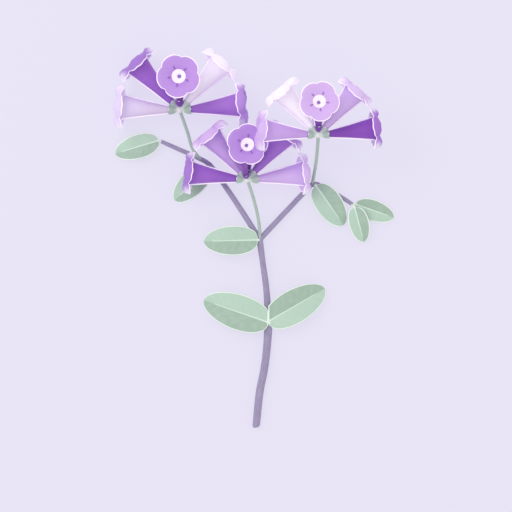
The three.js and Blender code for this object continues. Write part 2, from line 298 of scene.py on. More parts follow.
def place_group(tree, group, **values):
    made = tree.nodes.new("ShaderNodeGroup")
    made.node_tree = group
    for title, value in values.items():
        feed(tree, made.inputs[title], value)
    return made.outputs


def give(tree, sockets, **values):
    for title, value in values.items():
        tree.links.new(value, sockets[title.replace("_", " ")])


def new_material(name, **sockets):
    made = bpy.data.materials.new(name)
    made.use_nodes = True
    shader = made.node_tree.nodes["Principled BSDF"]
    for title, value in sockets.items():
        shader.inputs[title.replace("_", " ")].default_value = value
    return made, made.node_tree, shader.inputs


def bump(tree, sockets, height, strength, distance):
    made = tree.nodes.new("ShaderNodeBump")
    made.inputs["Strength"].default_value = strength
    made.inputs["Distance"].default_value = distance * MM
    feed(tree, made.inputs["Height"], height)
    tree.links.new(made.outputs["Normal"], sockets["Normal"])

# %% [markdown]
# Every part of a plant is a little uneven in tone. One small group gives that, from two sizes
# of noise in the piece's own coordinates, and each finish below paints with it at its own
# scale. A part with one plain tone needs no more than that, and often a slight relief from the
# same noise.

# %% Group: uneven tone, and how to paint with it
uneven, given, result = new_group(
    "uneven_tone",
    [("Scale", "Float"), ("Amount", "Float"), ("Color", "Color")],
    [("Color", "Color"), ("Mask", "Float")],
)
where = uneven.nodes.new("ShaderNodeTexCoord").outputs["Object"]
broad = noise(uneven, where, 60, 3)
fine = noise(uneven, where, given["Scale"])
mixed = sums(uneven, "ADD", times(uneven, broad, 0.5), times(uneven, fine, 0.5))
centred = sums(uneven, "SUBTRACT", mixed, 0.5)
gain = sums(uneven, "ADD", times(uneven, centred, given["Amount"]), 1.0)
scaled = uneven.nodes.new("ShaderNodeVectorMath")
scaled.operation = "SCALE"
uneven.links.new(given["Color"], scaled.inputs[0])
uneven.links.new(gain, scaled.inputs["Scale"])
give(uneven, result, Color=scaled.outputs["Vector"], Mask=mixed)


def paint(tree, sockets, colour, scale, amount):
    toned = place_group(tree, uneven, Scale=scale, Amount=amount, Color=colour)
    give(tree, sockets, Base_Color=toned["Color"])
    return toned


def plain_finish(name, colour, scale, amount, relief=None, **looks):
    made, tree, sockets = new_material(name, **looks)
    toned = paint(tree, sockets, tone(colour), scale, amount)
    if relief:
        bump(tree, sockets, toned["Mask"], *relief)
    return made


print("group:", uneven.name)

# %% [markdown]
# ## Table and light
# The table is a plain pale lavender light table: most of its brightness is its own glow, which
# thins the shadows under the raised flowers. The rest of the light is that of a bright studio with white
# walls, an even glow from all round, and one broad lamp to the upper left gives the trumpets a
# lit side. The Standard view keeps pale colours as they are mixed, where a filmic one would
# grey them.

# %% Table, lamp and glow
GLOW = 0.88
LAMP_WATTS = 17
TABLE_GLOW = 0.8

bpy.ops.object.select_all(action="DESELECT")
bpy.ops.mesh.primitive_plane_add(size=8, location=(0, 0, -0.1 * MM))
table = bpy.context.object
table.name = "table_top"
table_paint, tree, sockets = new_material("table_paint", Roughness=0.9, Specular_IOR_Level=0.1)
lavender = tone("#e8e4f6")
sockets["Base Color"].default_value = (*(c * (1 - TABLE_GLOW) for c in lavender[:3]), 1)
sockets["Emission Color"].default_value = lavender
sockets["Emission Strength"].default_value = TABLE_GLOW
table.data.materials.append(table_paint)

bpy.ops.object.light_add(type="AREA", location=(-1.3, 1.0, 2.3))
lamp = bpy.context.object
lamp.data.size = 1.6
lamp.data.energy = LAMP_WATTS
lamp.rotation_euler = Vector(lamp.location).to_track_quat("Z", "Y").to_euler()

world = bpy.data.worlds.new("studio")
bpy.context.scene.world = world
world.use_nodes = True
world.node_tree.nodes["Background"].inputs["Color"].default_value = (1.0, 0.99, 1.0, 1.0)
world.node_tree.nodes["Background"].inputs["Strength"].default_value = GLOW
bpy.context.scene.view_settings.view_transform = "Standard"
print("lamp:", LAMP_WATTS, "W, glow:", GLOW)

# %% [markdown]
# ## Where things lie
# The sprig was laid out on a sheet, and its routes are listed in sheet millimetres: x, y, the
# height z over the table, and for a stem the radius there. The frame has its origin under the
# middle of the sprig's box, so one shift carries a sheet point into the frame.

# %% Routes of the stem
SHEET_MIDDLE = np.array([-2.147, 193.523, 0.0])

STEM_MAIN = [
    (-0.2, -17, 3.7, 3.9), (1.6, 2, 3.75, 4.05), (4.2, 25, 4, 4.1), (9.3, 51.3, 4.6, 4.1),
    (12.4, 78, 5, 4.1), (13.4, 100.5, 5.3, 4.4), (12.5, 121.5, 5.6, 3.4), (10.8, 142.6, 6, 3.2),
    (7.6, 165.3, 6.3, 3), (4.1, 192, 6.6, 3.3),
]
STEM_LEFT = [
    (4.1, 192, 6.6, 2.9), (-9.7, 214, 6.6, 2.85), (-23, 234.5, 6.5, 2.8), (-36.1, 253.8, 6.4, 2.7),
    (-47, 269.5, 6.4, 2.6), (-53.5, 276.2, 6.4, 2.4), (-64, 281.8, 6.4, 2.35),
    (-76, 287.2, 6.4, 2.3), (-91, 293.8, 6.6, 2.2), (-104, 299.6, 7, 2),
]
STEM_RIGHT = [
    (4.1, 192, 6.6, 2.8), (20, 209, 5.4, 2.75), (37, 227, 4, 2.7), (53.4, 244.2, 3.2, 2.6),
    (62.6, 252.6, 4.1, 2.6), (72, 250.8, 4.9, 2.3), (85, 243.6, 5, 2.15), (97, 236.6, 4.6, 2.1),
    (106, 230.6, 4.6, 1.9),
]
BRANCHES = {"stem_main": STEM_MAIN, "stem_left": STEM_LEFT, "stem_right": STEM_RIGHT}
STEM_NODES = [(13.4, 100.5, 5.3, 4.9), (3.9, 192, 6.6, 3.9), (-51, 274, 6.4, 3.1), (63, 252.8, 4.2, 3.1)]


def laid(route):
    return [(x - SHEET_MIDDLE[0], y - SHEET_MIDDLE[1], *rest) for x, y, *rest in route]


def placed(point):
    return np.array(point) - SHEET_MIDDLE

# %% [markdown]
# ## The stem
# A vine's stem is round wood with a swelling at each node, where the leaves and flower stalks
# grow out. Three rods and a ball at each node make it. A voxel remesh then fuses them into one
# skin, and smoothing runs the branches into each other as wood does. Smoothing also thins a
# rod a little, so the rods start that much thicker.

# %% Stem: rods and swellings
SMOOTHED_AWAY = 0.3
VOXEL = 0.5


def thickened(route):
    return [(x, y, z, radius + SMOOTHED_AWAY) for x, y, z, radius in laid(route)]


stem_parts = [rod(name, thickened(route), 24) for name, route in BRANCHES.items()]
stem_parts += [ball(place, radius) for *place, radius in laid(STEM_NODES)]
stem = join(stem_parts, "stem_wood")
apply_modifier(stem, "REMESH", mode="VOXEL", voxel_size=VOXEL * MM)
apply_modifier(stem, "SMOOTH", factor=0.5, iterations=6)
print("stem faces:", len(stem.data.polygons))

# %% [markdown]
# The stem rests on the table along its length, so its underside is pressed flat there, a
# fraction of a millimetre. Its foot was cut with a knife and has shrunk and rounded since. A
# bisect makes the cut and fills it, a formula draws the last three millimetres in, and the cut
# face gets a slot of its own for the bare wood.

# %% Stem: underside and cut end
CUT_POINT = (0.05, -14.6, 3.7)
CUT_LEAN = (0.1, -0.99, 0.05)
RUBBED_LENGTH = 3.2


def on_cut(face):
    return face.normal.dot(lean) > 0.99 and (face.center - Vector(cut_at)).dot(lean) > -0.01 * MM


points = points_of(stem)
points[:, 2] = np.maximum(points[:, 2], 0)
move_points(stem, points)
edit_all(stem)
middle = placed(CUT_POINT)
cut_at = [c * MM for c in middle]
bpy.ops.mesh.bisect(plane_co=cut_at, plane_no=CUT_LEAN, use_fill=True, clear_outer=True)
bpy.ops.object.mode_set(mode="OBJECT")
lean = Vector(CUT_LEAN).normalized()
points = points_of(stem)
depth = (middle - points) @ np.array(lean)
rubbed = np.sqrt(1 - 0.75 * np.clip(1 - depth / RUBBED_LENGTH, 0, 1) ** 2)
for k in (0, 2):
    points[:, k] = middle[k] + (points[:, k] - middle[k]) * rubbed
move_points(stem, points)
cut_faces = [face.index for face in stem.data.polygons if on_cut(face)]
print("faces on the cut end:", len(cut_faces))

# %% [markdown]
# Bark grows along the branch, so its ridges must follow each bend. For that, every point is
# told where it would lie if the branch were straight: how far along it is, and on which side.
# The nearest sample of the three routes gives both. A noise stretched along that straightened
# branch then runs with the wood, also round the fork.

# %% Stem: straightened coordinates
def samples_of(route):
    knots = np.array(laid(route))[:, :3]
    shares = np.linspace(0, len(knots) - 1, 30 * len(knots))
    columns = [np.interp(shares, range(len(knots)), column) for column in knots.T]
    dense = np.stack(columns, axis=1)
    heading = np.gradient(dense, axis=0)
    heading /= np.linalg.norm(heading, axis=1)[:, None]
    run = np.concatenate([[0], np.cumsum(np.linalg.norm(np.diff(dense, axis=0), axis=1))])
    return dense, heading, run


sampled = zip(*map(samples_of, BRANCHES.values()))
dense, heading, run = (np.concatenate(part) for part in sampled)
points = points_of(stem)
nearest = np.concatenate([
    np.argmin(((some[:, None, :] - dense) ** 2).sum(axis=2), axis=1)
    for some in np.array_split(points, 60)
])
offset = points - dense[nearest]
sideways = np.cross(heading[nearest], (0, 0, 1))
straight = np.stack([(offset * sideways).sum(axis=1), offset[:, 2], run[nearest]], axis=1)
kept = stem.data.attributes.new("straight_branch", "FLOAT_VECTOR", "POINT")
kept.data.foreach_set("vector", straight.astype(np.float32).ravel())
print("longest run of a branch in mm:", round(run.max()))

# %% [markdown]
# Young bark is a greyed mauve: a smooth skin with faint ridges along it, small pale corky
# pores, and a paler bloom on the raised places. The ridges drive both the colour and the bump,
# so that the light and the tone agree.

# %% Finish: bark
def along_branch(tree, scale):
    made = tree.nodes.new("ShaderNodeMapping")
    made.inputs["Scale"].default_value = scale
    tree.links.new(noted(tree, "straight_branch", "Vector"), made.inputs["Vector"])
    return made.outputs["Vector"]


bark, tree, sockets = new_material(
    "young_bark", Roughness=0.72, Specular_IOR_Level=0.25, Sheen_Weight=0.35, Sheen_Tint=tone("#ece4f6")
)
ridges = noise(tree, along_branch(tree, (1.0, 1.0, 0.07)), 1.5, 5, 0.6)
pores = tree.nodes.new("ShaderNodeTexVoronoi")
tree.links.new(along_branch(tree, (0.45, 0.45, 0.22)), pores.inputs["Vector"])
pores.inputs["Scale"].default_value = 1.0
pore = fall_between(tree, pores.outputs["Distance"], 0.10, 0.17)
ground = blend(tree, rise_between(tree, ridges, 0.3, 0.7), tone("#9389a8"), tone("#aba1bf"))
spotted = blend(tree, times(tree, pore, 0.65), ground, tone("#cdc5da"))
paint(tree, sockets, spotted, 220, 0.22)
bump(tree, sockets, sums(tree, "ADD", ridges, times(tree, pore, 0.5)), 0.5, 0.5)

# %% [markdown]
# The cut end shows pale wood with a greener ring under the bark and a soft pith. Rings of
# distance from the middle of the cut are all that it takes.

# %% Finish: cut wood
cut_wood, tree, sockets = new_material("cut_wood", Roughness=0.8, Specular_IOR_Level=0.2)
gap = tree.nodes.new("ShaderNodeVectorMath")
gap.operation = "DISTANCE"
tree.links.new(tree.nodes.new("ShaderNodeTexCoord").outputs["Object"], gap.inputs[0])
gap.inputs[1].default_value = cut_at
from_pith = sums(tree, "DIVIDE", gap.outputs["Value"], MM)
wood = blend(tree, rise_between(tree, from_pith, 0.7, 1.1), tone("#f2ead8"), tone("#dcd6c0"))
wood = blend(tree, rise_between(tree, from_pith, 2.9, 3.5), wood, tone("#a9bda0"))
toned = paint(tree, sockets, wood, 900, 0.5)
bump(tree, sockets, toned["Mask"], 0.3, 0.3)

stem.data.materials.clear()
for finish in (bark, cut_wood):
    stem.data.materials.append(finish)
stem.data.polygons.foreach_set("material_index", [0] * len(stem.data.polygons))
for index in cut_faces:
    stem.data.polygons[index].material_index = 1
alone(stem)
bpy.ops.object.shade_smooth_by_angle(angle=math.radians(40))
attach(stem, "root")
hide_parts("vine_stem")

# %% [markdown]
# ## The leaves
# Garlic vine has oval, leathery leaves with a pale midrib. Each one here is listed by its base
# and tip, its width, and how it arches, folds and leans. A grid makes the blade: one direction
# of the grid runs from base to tip and the other from margin to margin. The outline is an
# ellipse, widest a little below half way and drawn to a point at the base. No edit-mode tool
# gives that, so the grid's points are moved by a formula, and the surface gets its fold and
# ripple at the same time.

# %% Leaves: sizes and places
LEAF_THICKNESS = 0.8
LEAF_BASE_ANGLE = math.radians(76)  # between midrib and margin at the base
VEIN_PAIRS = 8
VEIN_SLANT = 0.75  # how far a side vein runs towards the tip for each mm that it runs out

LEAVES = [
    dict(name="leaf_low_left", base=(15.2, 100.6, 10.6), tip=(-57.3, 125.4, 3.2), width=40, arch=4.2,
         fold=0.2, lean=-0.02, wave=0.8, seat=(12, 100.3, 5.6), pressed_at=13.6, pressed_on=1),
    dict(name="leaf_low_right", base=(11.8, 101.2, 10.6), tip=(75.6, 138.2, 4), width=38.2, arch=4.6,
         fold=0.2, lean=0.02, wave=0.8, seat=(15, 100.6, 5.6), pressed_at=13.4, pressed_on=-1),
    dict(name="leaf_fork", base=(2.4, 191.5, 11.2), tip=(-57.4, 190, 4.2), width=33.2, arch=3.4,
         fold=0.18, lean=0.03, wave=0.7, seat=(3.9, 192, 6.6)),
    dict(name="leaf_left_joint", base=(-52.2, 271.2, 6.6), tip=(-89.4, 234.9, 2.2), width=28.5, arch=-1.6,
         fold=0.08, lean=0, wave=0.4, seat=(-51, 274, 6.4)),
    dict(name="leaf_left_twig_tip", base=(-106.4, 300.7, 7.6), tip=(-154.7, 286.3, 3.4), width=27.4, arch=3,
         fold=0.2, lean=-0.04, wave=0.6, seat=(-104, 299.6, 7)),
    dict(name="leaf_right_joint", base=(65.6, 251.4, 9.6), tip=(96.2, 207.9, 4), width=30.7, arch=3.2,
         fold=0.2, lean=0.03, wave=0.6, seat=(64.2, 251.6, 4)),
    dict(name="leaf_right_twig_lower", base=(108, 227.4, 9), tip=(118.4, 189.4, 4.2), width=23, arch=3.4,
         fold=0.2, lean=-0.02, wave=0.4, seat=(104.8, 230.2, 5.2)),
    dict(name="leaf_right_twig_tip", base=(109.2, 230.8, 3.8), tip=(151.5, 216, 1.4), width=24.1, arch=1.4,
         fold=0.1, lean=0, wave=0.4, seat=(106, 231, 4.2)),
]

# %% Leaves: the surface of a blade
def leaf_surface(leaf, along, across):
    base = placed(leaf["base"])
    run = np.array(leaf["tip"]) - np.array(leaf["base"])
    length = math.hypot(run[0], run[1])
    side = np.array([-run[1], run[0], 0]) / length
    skewed = along**0.87
    oval = leaf["width"] / 2 * np.sqrt(np.clip(4 * skewed * (1 - skewed), 0, None))
    half = np.minimum(oval, along * length * math.tan(LEAF_BASE_ANGLE))
    points = base + np.outer(along, run) + (half * across)[:, None] * side
    reach = np.abs(across)
    lift = half * (leaf["fold"] * reach * (1 - 0.35 * reach) + leaf["lean"] * across)
    phase = np.where(across > 0, 0.4, 1.1)
    ripple = leaf["wave"] * across**2 * np.sin(math.pi * (3 * along + phase))
    points[:, 2] += leaf["arch"] * np.sin(math.pi * along) + lift + ripple
    return points, half, length

# %% [markdown]
# A real blade isn't flat between its veins: the tissue swells a little and each side vein lies
# in a shallow furrow. The midrib stands proud. These are fractions of a millimetre, yet they
# are what the light picks out, so they are modelled and not painted.

# %% Leaves: veins in relief
def leaf_relief(leaf, along, across, half, length):
    from_midrib = np.abs(across) * half
    counted = (along * length - VEIN_SLANT * from_midrib) / (length / VEIN_PAIRS)
    counted = counted + np.where(across > 0, 0.0, 0.5)
    off_vein = np.abs(counted - np.round(counted))
    vein = np.exp(-((off_vein / 0.07) ** 2)) * smoothstep(from_midrib, 0.3, 1.5)
    fade = (1 - smoothstep(np.abs(across), 0.75, 0.98)) * smoothstep(along, 0.02, 0.12)
    swell = np.sin(math.pi * off_vein) ** 2 * smoothstep(from_midrib, 0.8, 4)
    rib_width = 0.85 * (1 - 0.65 * along)
    rib = np.exp(-((from_midrib / rib_width) ** 2)) * (1 - smoothstep(along, 0.8, 0.9))
    height = fade * (0.2 * swell - 0.09 * vein) + 0.4 * rib * (1 - 0.5 * along)
    return height, vein * fade, rib

# %% [markdown]
# The grid is two metres wide at first, so that its coordinates run from -1 to 1 and can be
# read as shares. The rows of points that fall together at the base and the tip are merged. The
# lowest two leaves press together over the stem, so a bisect trims each along that line. A
# Solidify gives the blade its thickness and its own underside slot, and one subdivision rounds
# the margin. The notes on the points tell the shader where the margin and the veins are.

# %% Leaves: one blade
def make_blade(leaf):
    bpy.ops.object.select_all(action="DESELECT")
    bpy.ops.mesh.primitive_grid_add(x_subdivisions=72, y_subdivisions=28, size=2)
    piece = bpy.context.object
    piece.name = piece.data.name = leaf["name"] + "_blade"
    grid = points_of(piece) * MM
    along = np.clip((grid[:, 0] + 1) / 2, 0.002, 0.999)
    across = np.sign(grid[:, 1]) * np.abs(grid[:, 1]) ** 1.25
    points, half, length = leaf_surface(leaf, along, across)
    height, vein, rib = leaf_relief(leaf, along, across, half, length)
    points[:, 2] += height
    note_on_points(piece, "side", across)
    note_on_points(piece, "vein", vein)
    note_on_points(piece, "rib", rib)
    to_margin = (1 - np.abs(across)) * half
    meeting = leaf.get("pressed_at", 1000) - SHEET_MIDDLE[0]
    note_on_points(piece, "to_margin", np.minimum(to_margin, np.abs(points[:, 0] - meeting)))
    move_points(piece, points)
    edit_all(piece)
    bpy.ops.mesh.remove_doubles(threshold=0.03 * MM)
    if "pressed_at" in leaf:
        outwards = (leaf["pressed_on"], 0, 0)
        bpy.ops.mesh.bisect(plane_co=(meeting * MM, 0, 0), plane_no=outwards, clear_outer=True)
    face_outwards()
    return piece


def thicken(piece):
    up = sum(f.normal.z * f.area for f in piece.data.polygons)
    if up < 0:
        edit_all(piece)
        bpy.ops.mesh.flip_normals()
        bpy.ops.object.mode_set(mode="OBJECT")
    slots = dict(material_offset=1, material_offset_rim=1)
    apply_modifier(piece, "SOLIDIFY", thickness=LEAF_THICKNESS * MM, offset=0, **slots)
    apply_modifier(piece, "SUBSURF", levels=1, render_levels=1)
    bpy.ops.object.shade_smooth()

# %% [markdown]
# The upper face of each leaf is a soft grey green, with one half painted a shade lighter than
# the other: painted light and shade for the two halves of the fold, which turn to the light
# differently. The midrib and the thin margin are pale. The marks come from the notes on the
# points, in a group with the tones as inputs, and the underside has a matt finish of its own.

# %% Group: leaf markings
marks, given, result = new_group(
    "leaf_markings",
    [("Painted lit half", "Color"), ("Painted shade half", "Color"), ("Pale", "Color")],
    [("Color", "Color"), ("Height", "Float"), ("Roughness", "Float")],
)
# Painted light and shade: one half of the blade is painted lighter than the other.
painted_shade_side = rise_between(marks, noted(marks, "side"), -0.03, 0.03)
colour = blend(marks, painted_shade_side, given["Painted lit half"], given["Painted shade half"])
where = marks.nodes.new("ShaderNodeTexCoord").outputs["Object"]
cells = noise(marks, where, 900, 3)
patches = noise(marks, where, 140, 4)
blotch = rise_between(marks, patches, 0.35, 0.75)
colour = blend(marks, times(marks, blotch, 0.22), colour, tone("#c4dac6"))
colour = blend(marks, times(marks, noted(marks, "vein"), 0.1), colour, given["Pale"])
midrib = rise_between(marks, noted(marks, "rib"), 0.25, 0.7)
colour = blend(marks, times(marks, midrib, 0.9), colour, given["Pale"])
margin = fall_between(marks, noted(marks, "to_margin"), 0.85, 1.6)
colour = blend(marks, times(marks, margin, 0.95), colour, tone("#f4fcf6"))
matt = sums(marks, "ADD", 0.46, times(marks, patches, 0.2))
give(marks, result, Color=colour, Height=cells, Roughness=matt)
print("group:", marks.name)

# %% Finish: leaves
leaf_face, tree, sockets = new_material(
    "leaf_face", Specular_IOR_Level=0.3, Sheen_Weight=0.25, Sheen_Tint=tone("#f0faf2"), Coat_Weight=0.05
)
# The two tones of the halves are a painted lit green and a painted shade green.
shade = {"Painted lit half": tone("#b7d2c0"), "Painted shade half": tone("#a2bbaa"), "Pale": tone("#daf1e0")}
marked = place_group(tree, marks, **shade)
paint(tree, sockets, marked["Color"], 400, 0.12)
give(tree, sockets, Roughness=marked["Roughness"])
bump(tree, sockets, marked["Height"], 0.15, 0.15)
leaf_under, tree, sockets = new_material("leaf_underside", Roughness=0.7, Specular_IOR_Level=0.2)
toned = place_group(tree, uneven, Scale=500.0, Amount=0.25, Color=tone("#b9cdb9"))
ribbed = blend(tree, times(tree, noted(tree, "vein"), 0.5), toned["Color"], tone("#d3e4cf"))
give(tree, sockets, Base_Color=ribbed)
bump(tree, sockets, toned["Mask"], 0.2, 0.2)

# %% [markdown]
# A short leaf stalk runs from the node into the midrib. It is a thin rod that swells to a pale
# knuckle at the foot of the blade, and tapers under it.

# %% Finish: leaf stalks, and all eight leaves
leaf_stalk = plain_finish(
    "leaf_stalk", "#e4f1e6", 500, 0.25, (0.2, 0.2), Roughness=0.6, Specular_IOR_Level=0.3, Sheen_Weight=0.3
)

for leaf in LEAVES:
    blade = make_blade(leaf)
    blade.data.materials.append(leaf_face)
    blade.data.materials.append(leaf_under)
    thicken(blade)
    into = leaf_surface(leaf, np.array([0.05, 0.16]), np.zeros(2))[0]
    route = [(*placed(leaf["seat"]), 1.3), (*placed(leaf["base"]), 1.5), (*into[0], 0.9), (*into[1], 0.5)]
    foot = rod(leaf["name"] + "_foot", route, 12)
    foot.data.materials.append(leaf_stalk)
    whole = join([blade, foot], leaf["name"] + "_blade")
    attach(whole, "root")
    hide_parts(leaf["name"])
print("leaves:", len(LEAVES), "faces each about", len(whole.data.polygons))

# %% [markdown]
# ## The flowers
# Each flower of an umbel is a trumpet on its own axis from the umbel's centre. Its bearing
# turns from +X towards +Y, rise is its tilt over the table, and roll turns its lobes. The
# flower that faces the viewer bends up on an arc. Age runs from 0, just open and deep violet,
# to 1, faded nearly to white.

# %% Flowers: umbels
UMBELS = [
    dict(
        name="left_umbel", hub=(-83.2, 332.9, 24), size=1,
        stalk=[(-57.8, 278.5, 6.2), (-62.5, 282, 8), (-69.4, 291.4, 9), (-74.6, 308, 14.5)],
        flowers=[
            dict(name="outer_left", bearing=176.5, rise=-0.99, length=0.97, age=0.85),
            dict(name="upper_left", bearing=133.2, rise=2, roll=5, length=1.02, age=0.2),
            dict(name="face", bearing=90, rise=10, end_rise=90, bend_ends=58, roll=-9, age=0.36),
            dict(name="upper_right", bearing=48.3, rise=-0.96, age=0.97),
            dict(name="outer_right", bearing=5.2, rise=3, roll=-4, age=0.31),
            dict(name="bud", bearing=99, rise=-21),
        ],
    ),
    dict(
        name="middle_umbel", hub=(-9.4, 256.8, 29), size=0.95,
        stalk=[(4.1, 193.5, 8.6), (4, 202, 10.5), (2.6, 214, 14.5), (-2.6, 236, 23.5)],
        flowers=[
            dict(name="outer_left", bearing=173.2, rise=1, roll=3, age=0.18),
            dict(name="upper_left", bearing=129.9, rise=3, roll=-5, age=0.54),
            dict(name="face", bearing=90, rise=-25, end_rise=90, bend_ends=53, length=0.925, roll=29,
                 side_slope=0.2, age=0.36),
            dict(name="upper_right", bearing=49.6, rise=-1, roll=5, age=0.33),
            dict(name="outer_right", bearing=6.6, rise=-7.21, length=0.97, age=0.66),
            dict(name="bud", bearing=106, rise=40, length=0.72),
        ],
    ),
    dict(
        name="right_umbel", hub=(67, 303.5, 75), size=0.91,
        stalk=[(62, 254.6, 6.4), (62.8, 259, 15), (64.8, 272, 36), (66, 286, 56)],
        flowers=[
            dict(name="outer_left", bearing=175, rise=5.5, age=0.57),
            dict(name="upper_left", bearing=129.6, rise=3, roll=-6, age=1.0),
            dict(name="face", bearing=90, rise=10, end_rise=90, bend_ends=58, roll=9, age=0.55),
            dict(name="upper_right", bearing=50, rise=3, roll=5, age=0.7),
            dict(name="outer_right", bearing=7, rise=-3, roll=-4, age=0.0),
            dict(name="bud", bearing=99, rise=-21),
        ],
    ),
]

# %% [markdown]
# Every piece of a flower is modelled once, upright, with the umbel's centre at the origin and
# its axis along +Z. The next helper lays a copy along a flower's own axis: height becomes
# distance along the axis, also where the axis is an arc, which a plain rotation can't do.

# %% Flowers: laying a piece along a flower's axis
def flower_axis(umbel, flower, distance):
    bearing = math.radians(flower["bearing"])
    start = math.radians(flower["rise"])
    end = math.radians(flower.get("end_rise", flower["rise"]))
    ends = flower.get("bend_ends", 60)
    s = distance * umbel["size"] * flower.get("length", 1)
    bent = np.minimum(s, ends)
    turn = (end - start) / ends
    tilt = start + turn * bent
    if turn:
        out = (np.sin(tilt) - math.sin(start)) / turn
        up = (math.cos(start) - np.cos(tilt)) / turn
    else:
        out = bent * math.cos(start)
        up = bent * math.sin(start)
    out = out + (s - bent) * math.cos(end)
    up = up + (s - bent) * math.sin(end)
    heading = np.array([math.cos(bearing), math.sin(bearing), 0])
    centre = placed(umbel["hub"]) + np.outer(out, heading)
    centre[:, 2] += up
    normal = -np.outer(np.sin(tilt), heading)
    normal[:, 2] += np.cos(tilt)
    return centre, np.array([-heading[1], heading[0], 0]), normal


TABLE_GAP = 0.05  # what is left between the lowest petals and the table


def lay_on_axis(piece, umbel, flower, girth=1.0):
    points = points_of(piece)
    roll = math.radians(flower.get("roll", 0) - 90)
    centre, side, normal = flower_axis(umbel, flower, points[:, 2])
    size = umbel["size"] * girth
    across = (points[:, 0] * math.cos(roll) - points[:, 1] * math.sin(roll)) * size
    above = (points[:, 0] * math.sin(roll) + points[:, 1] * math.cos(roll)) * size
    laid_out = centre + across[:, None] * side + above[:, None] * normal
    laid_out[:, 2] = np.maximum(laid_out[:, 2], TABLE_GAP)
    if "side_slope" in flower:
        middle = flower_axis(umbel, flower, np.array([59.0]))[0][0]
        share = smoothstep(points[:, 2], 36, 60)
        laid_out[:, 2] -= flower["side_slope"] * share * (laid_out[:, 0] - middle[0])
    move_points(piece, laid_out)


def copy_of(piece, name):
    made = piece.copy()
    made.data = piece.data.copy()
    made.name = made.data.name = name
    bpy.context.scene.collection.objects.link(made)
    return made


def open_flowers():
    pairs = [(umbel, flower) for umbel in UMBELS for flower in umbel["flowers"]]
    return [(umbel, flower) for umbel, flower in pairs if flower["name"] != "bud"]

# %% [markdown]
# ## Trumpets
# The corolla is one tube that widens into five lobes. Two forms are needed: on flowers seen
# from the side the lobes curl back over the tube, and on those that face the viewer they lie
# flat. Each row gives a ring's distance from the umbel's centre and its radius. Where a row
# holds two more numbers, the first two are on a lobe's middle line and the last two in the
# notch between lobes. The rows climb the outside, turn over at the rim and go down inside, so
# that the wall is solid everywhere. The inside of the flat form ends high up in a white cup, on
# whose floor the stigma stands. That of the curled form runs on down the tube.

# %% Trumpets: rows
TUBE = [(7.6, 2.2), (10, 3.0), (14, 3.9), (22, 5.2), (33, 6.7), (46, 9.15), (56, 11.1)]
CURLED_OUT = [
    (61.8, 12.15, 61.6, 12.1), (66.9, 13.7, 65.6, 13.2), (70.6, 15.8, 67.9, 15.0),
    (72.7, 18.5, 69.4, 17.2), (72.4, 20.6, 69.3, 18.9), (70.1, 22.5, 68.6, 20.3),
    (66.4, 23.6, 67.5, 21.2), (63.6, 23.9, 66.8, 21.6),
]
CURLED_RIM = (62.5, 24.3, 66.3, 21.95)
CURLED_IN = [
    (63.2, 24.85, 66.8, 22.3), (66.8, 24.6, 68.0, 22.0), (70.7, 23.35, 69.3, 20.9), (73.4, 21, 70.2, 19.3),
    (73.8, 18.4, 70.3, 17.4), (71.6, 15.2, 68.9, 14.8), (67.6, 12.95, 66.6, 12.7), (62.2, 11.4, 62, 11.4),
    (54, 9.7), (44, 7.9), (34, 6.1), (24, 4.7), (17, 3.6),
]
FLAT_OUT = [
    (60.5, 12.3), (63.6, 14.2), (65.6, 16.8), (66.9, 19.6, 66.5, 18.3), (67.3, 22, 67, 19.3),
    (67.1, 23.4, 67.2, 19.9),
]
FLAT_RIM = (67.5, 24.2, 67.7, 20.3)
FLAT_IN = [
    (67.9, 23.8, 68.1, 20.0), (68.3, 22, 68, 19.3), (68.1, 19.8, 67.7, 18.4), (67.2, 16.9),
    (66.2, 14.2), (65.4, 11.6), (64.9, 9.0), (64.5, 7.65), (62.8, 6.95), (59.5, 6.6), (55.5, 6.2),
    (52, 5.4), (49.4, 4.3), (48.2, 3.0), (47.8, 1.5),
]
LOBES = 5
COLUMNS = 60
TUBE_RIB = 2.1

# %% [markdown]
# The rings are round at first. The lobes come from one formula: between the numbers of the
# notch and those of the lobe, by where a point stands round the axis. A ruffle, which grows
# towards the rim, keeps the margin from looking stamped out. Each point also keeps how far
# past the rim it lies, in mm: below zero outside and above zero inside. A fine pale rib runs
# along each flank of a tube, where one column of points is drawn out.

# %% Trumpets: lobes and ruffles
def match_rows(piece, rows):
    wide = np.array([row if len(row) == 4 else (*row, *row) for row in rows], dtype=float)
    points = points_of(piece)
    radius = np.hypot(points[:, 0], points[:, 1])
    missed = (points[:, 2:3] - wide[:, 0]) ** 2 + (radius[:, None] - wide[:, 1]) ** 2
    return wide, points, radius, np.argmin(missed, axis=1)


def shape_lobes(piece, rows, rim, ruffle, roundness):
    wide, points, radius, row = match_rows(piece, rows)
    angle = np.arctan2(points[:, 1], points[:, 0])
    lobe = np.abs(np.sin(LOBES / 2 * angle)) ** roundness
    distance = wide[row, 2] + (wide[row, 0] - wide[row, 2]) * lobe
    reach = wide[row, 3] + (wide[row, 1] - wide[row, 3]) * lobe
    open_limb = smoothstep(reach, 14, 24)
    distance = distance + ruffle * open_limb * np.sin(3 * LOBES * angle + 0.8)
    reach = reach + 0.5 * ruffle * open_limb * np.sin(4 * LOBES * angle + 0.3 * np.cos(angle))
    on_axis = radius < 1e-3
    unit = np.where(on_axis, 1, radius)
    moved = np.stack([points[:, 0] / unit * reach, points[:, 1] / unit * reach, distance], axis=1)
    move_points(piece, np.where(on_axis[:, None], points, moved))
    steps = np.hypot(*np.diff(wide[:, :2], axis=0).T)
    run = np.concatenate([[0], np.cumsum(steps)])
    note_on_points(piece, "past_rim", run[row] - run[rim])


def raise_ribs(piece, share, height):
    points = points_of(piece)
    off_flank = np.abs(np.abs(np.arctan2(points[:, 1], points[:, 0])) - math.pi / 2)
    on_flank = off_flank < 0.02
    radius = np.maximum(np.hypot(points[:, 0], points[:, 1]), 0.1)
    points[:, :2] *= (1 + on_flank * share * height / radius)[:, None]
    move_points(piece, points)
    return on_flank * share

